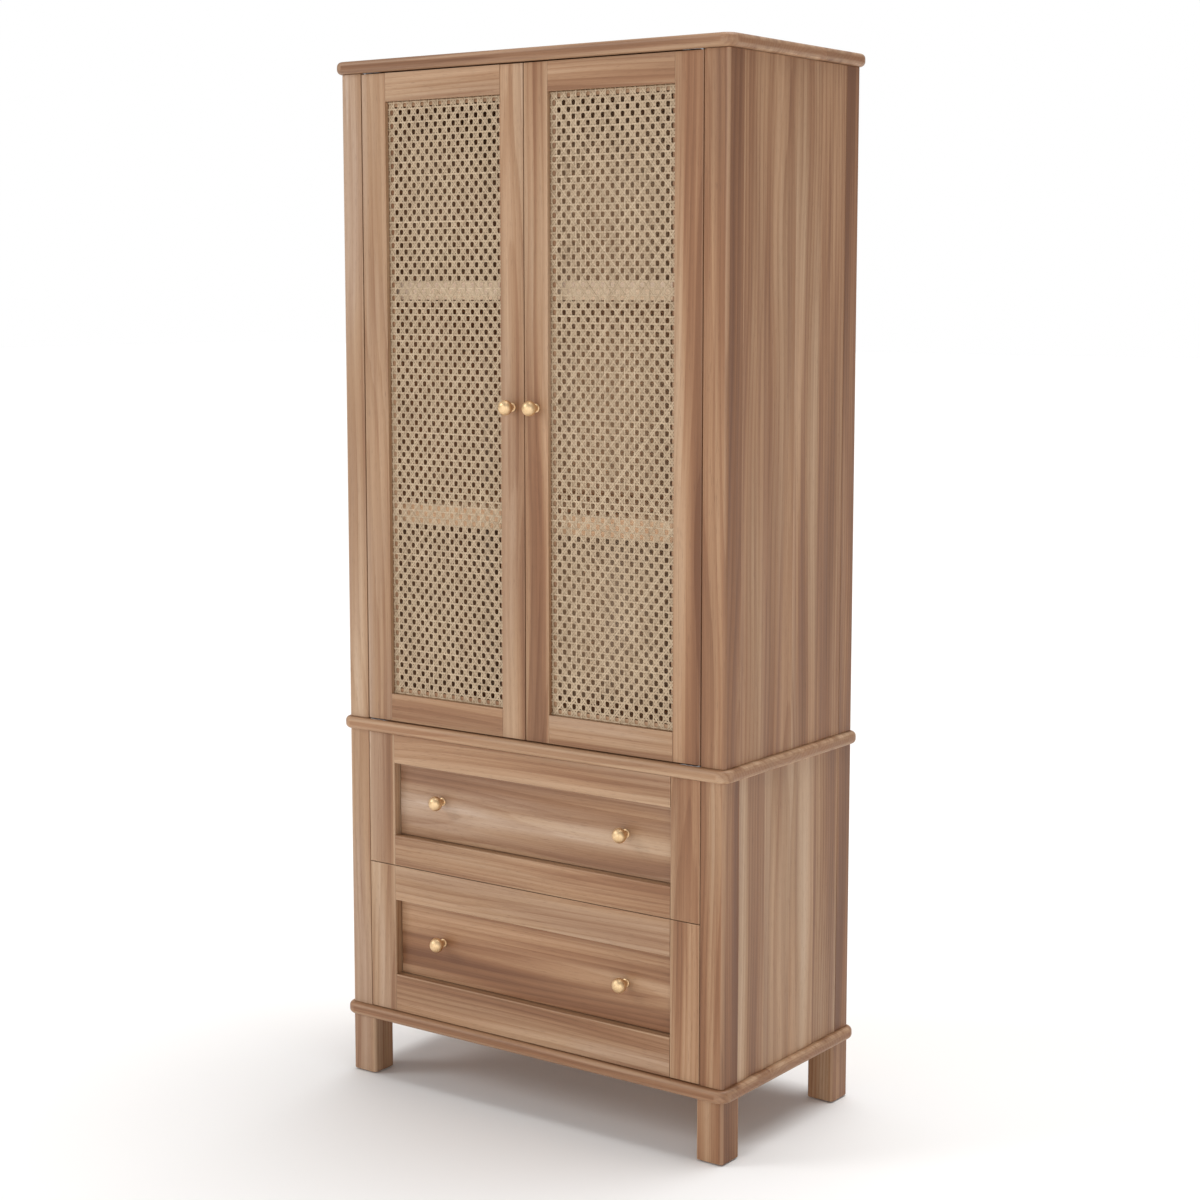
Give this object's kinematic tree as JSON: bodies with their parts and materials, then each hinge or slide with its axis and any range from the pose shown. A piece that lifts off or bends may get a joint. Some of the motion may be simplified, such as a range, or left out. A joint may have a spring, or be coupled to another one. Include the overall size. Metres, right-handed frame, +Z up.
{
  "type": "armoire",
  "caption": "Tall two-part wooden armoire: framed doors with woven cane panels above, framed drawers below, on square legs, with small round knobs.",
  "frame": {"origin": "middle of the bounding box, on the floor", "axes": "+Z up, the front with doors and drawers faces -Y, the width runs along X"},
  "size_m": [0.8, 0.437, 1.758],
  "materials": {
    "wood": "satin, warm light brown with vertical grain",
    "inner_wood": "plain sanded wood",
    "back_wood": "matt thin board",
    "cane": "woven natural cane, low sheen",
    "knob_brass": "satin brushed brass",
    "pivot_steel": "plain steel",
    "catch_plastic": "matt brown"
  },
  "bodies": {
    "carcass": {"base_board": "wood", "waist_board": "wood", "cornice_board": "wood", "leg_front_left": "wood", "leg_front_right": "wood", "leg_rear_left": "wood", "leg_rear_right": "wood", "lower_post_front_left": "wood", "lower_post_front_right": "wood", "lower_post_rear_left": "wood", "lower_post_rear_right": "wood", "upper_post_front_left": "wood", "upper_post_front_right": "wood", "upper_post_rear_left": "wood", "upper_post_rear_right": "wood", "lower_side_panel_left": "wood", "lower_side_panel_right": "wood", "upper_side_panel_left": "wood", "upper_side_panel_right": "wood", "lower_back_panel": "back_wood", "upper_back_panel": "back_wood", "lower_shelf": "inner_wood", "upper_shelf": "inner_wood", "lower_pivot_left": "pivot_steel", "lower_pivot_right": "pivot_steel", "upper_pivot_left": "pivot_steel", "upper_pivot_right": "pivot_steel", "door_catch": "catch_plastic", "upper_drawer_runner_left": "inner_wood", "upper_drawer_runner_right": "inner_wood", "lower_drawer_runner_left": "inner_wood", "lower_drawer_runner_right": "inner_wood"},
    "left_door": {"left_door_hinge_stile": "wood", "left_door_meeting_stile": "wood", "left_door_top_rail": "wood", "left_door_bottom_rail": "wood", "left_door_cane_panel": "cane", "left_door_knob": "knob_brass"},
    "right_door": {"right_door_hinge_stile": "wood", "right_door_meeting_stile": "wood", "right_door_top_rail": "wood", "right_door_bottom_rail": "wood", "right_door_cane_panel": "cane", "right_door_knob": "knob_brass"},
    "upper_drawer": {"upper_drawer_front_frame": "wood", "upper_drawer_front_panel": "wood", "upper_drawer_side_left": "inner_wood", "upper_drawer_side_right": "inner_wood", "upper_drawer_back": "inner_wood", "upper_drawer_bottom": "inner_wood", "upper_drawer_knob_left": "knob_brass", "upper_drawer_knob_right": "knob_brass"},
    "lower_drawer": {"lower_drawer_front_frame": "wood", "lower_drawer_front_panel": "wood", "lower_drawer_side_left": "inner_wood", "lower_drawer_side_right": "inner_wood", "lower_drawer_back": "inner_wood", "lower_drawer_bottom": "inner_wood", "lower_drawer_knob_left": "knob_brass", "lower_drawer_knob_right": "knob_brass"}
  },
  "joints": [
    {"name": "left_door_hinge", "type": "hinge", "parent": "carcass", "child": "left_door", "pos_m": [-0.3382, -0.1835, 1.188], "axis": [0, 0, -1], "range_deg": [0, 100]},
    {"name": "right_door_hinge", "type": "hinge", "parent": "carcass", "child": "right_door", "pos_m": [0.3382, -0.1835, 1.188], "axis": [0, 0, 1], "range_deg": [0, 100]},
    {"name": "upper_drawer_slide", "type": "slide", "parent": "carcass", "child": "upper_drawer", "axis": [0, -1, 0], "range_m": [0, 0.27]},
    {"name": "lower_drawer_slide", "type": "slide", "parent": "carcass", "child": "lower_drawer", "axis": [0, -1, 0], "range_m": [0, 0.27]}
  ]
}
